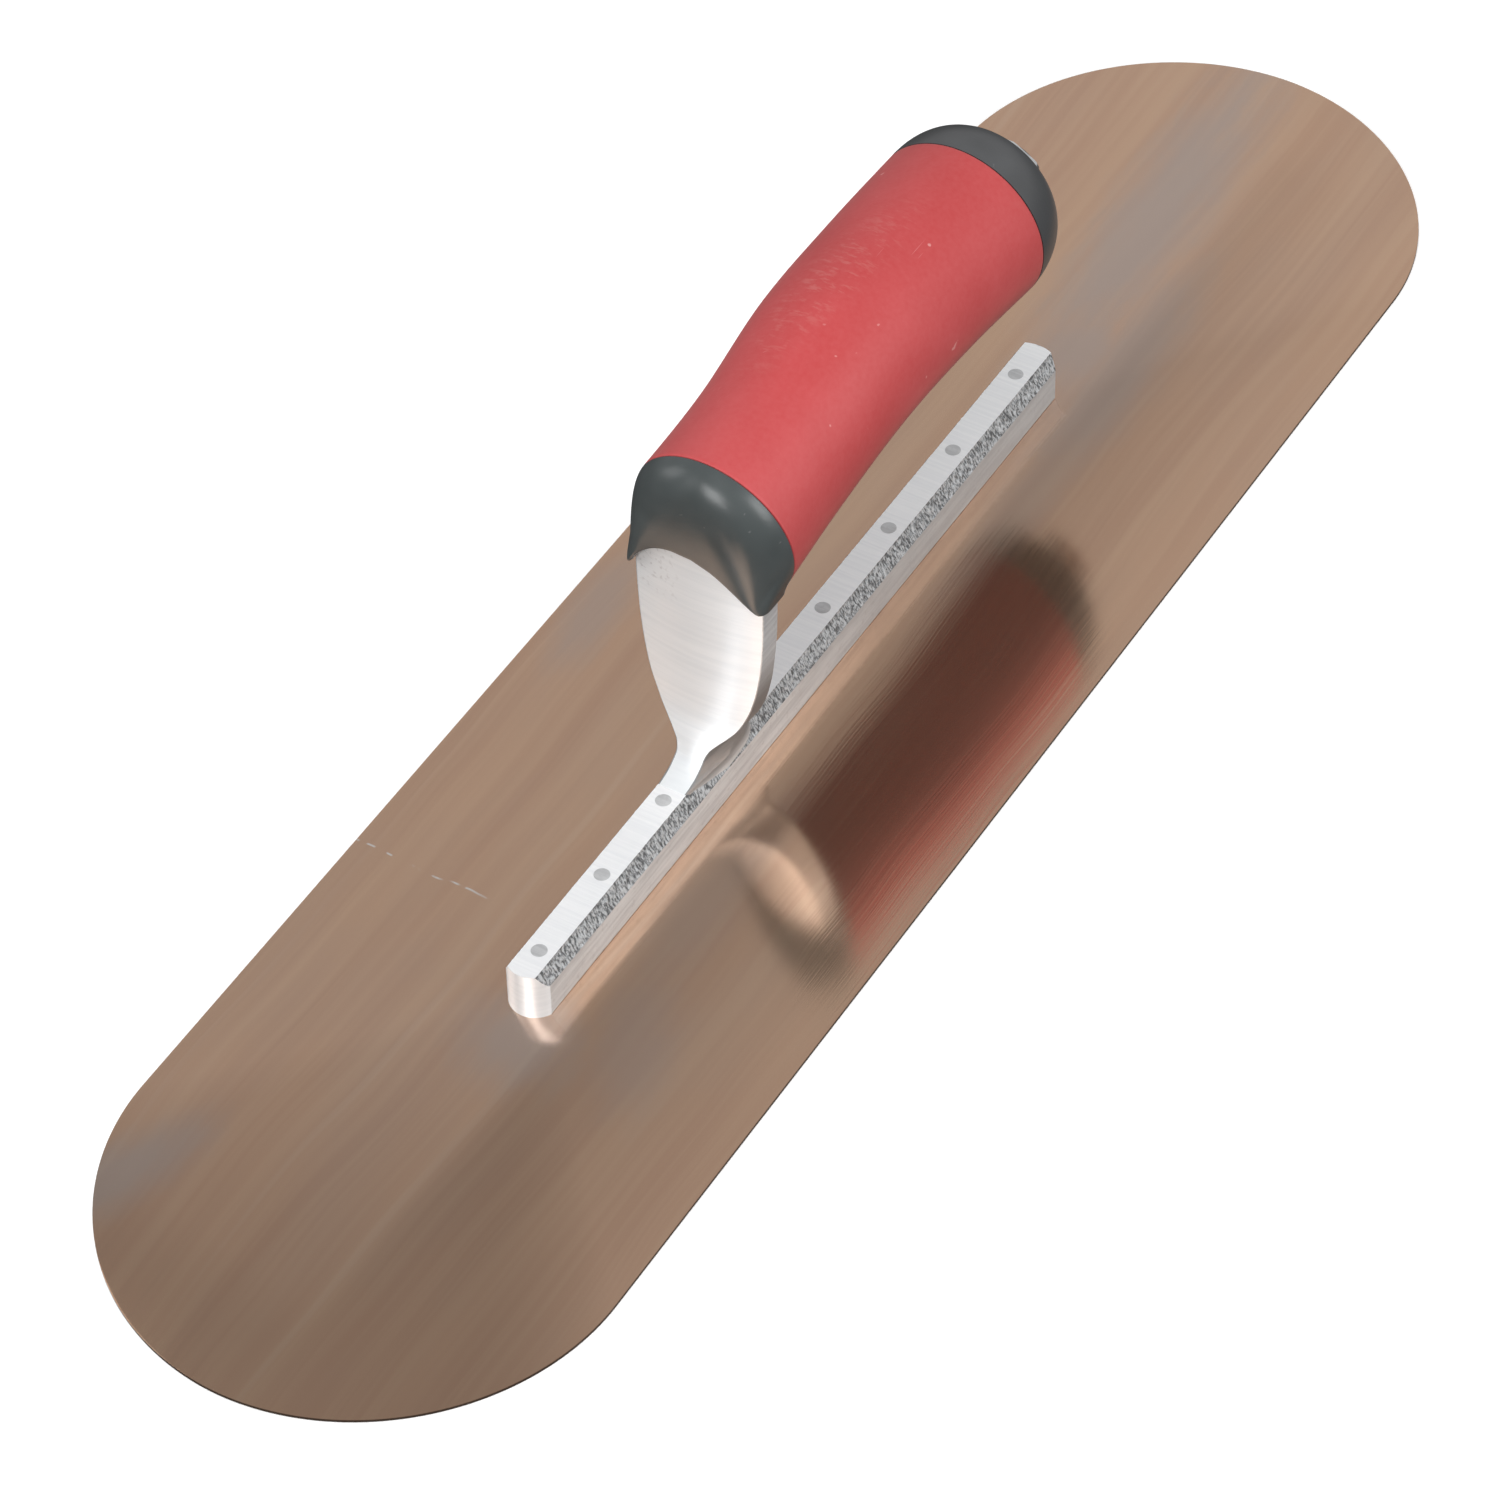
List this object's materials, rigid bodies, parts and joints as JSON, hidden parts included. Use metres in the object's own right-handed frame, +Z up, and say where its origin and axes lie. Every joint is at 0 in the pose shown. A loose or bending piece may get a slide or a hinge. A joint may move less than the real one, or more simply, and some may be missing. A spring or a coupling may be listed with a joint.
{
  "type": "concrete finishing trowel",
  "caption": "Long flat steel blade with fully rounded ends, riveted to a cast aluminium bar whose leaf-shaped shank carries an arched soft-grip handle.",
  "frame": {"origin": "middle of the blade, on its working face", "axes": "+X along the blade towards the shank end, +Z up away from the working face, +Y across the blade"},
  "size_m": [0.4064, 0.1016, 0.091],
  "materials": {
    "blade_steel": "golden stainless, brushed along its length",
    "cast_aluminium": "ground and cross-brushed, rough cast chamfers",
    "rivet_metal": "ground flush",
    "ferrule_plastic": "gloss",
    "core_plastic": "moulded",
    "grip_rubber": "soft matte",
    "cap_plastic": "satin",
    "bolt_steel": "bright zinc plated"
  },
  "bodies": {
    "root": {"blade": "blade_steel", "mounting": "cast_aluminium", "rivets": "rivet_metal", "front_ferrule": "ferrule_plastic", "handle_core": "core_plastic", "grip_sleeve": "grip_rubber", "rear_cap": "cap_plastic", "handle_bolt": "bolt_steel"}
  },
  "joints": []
}
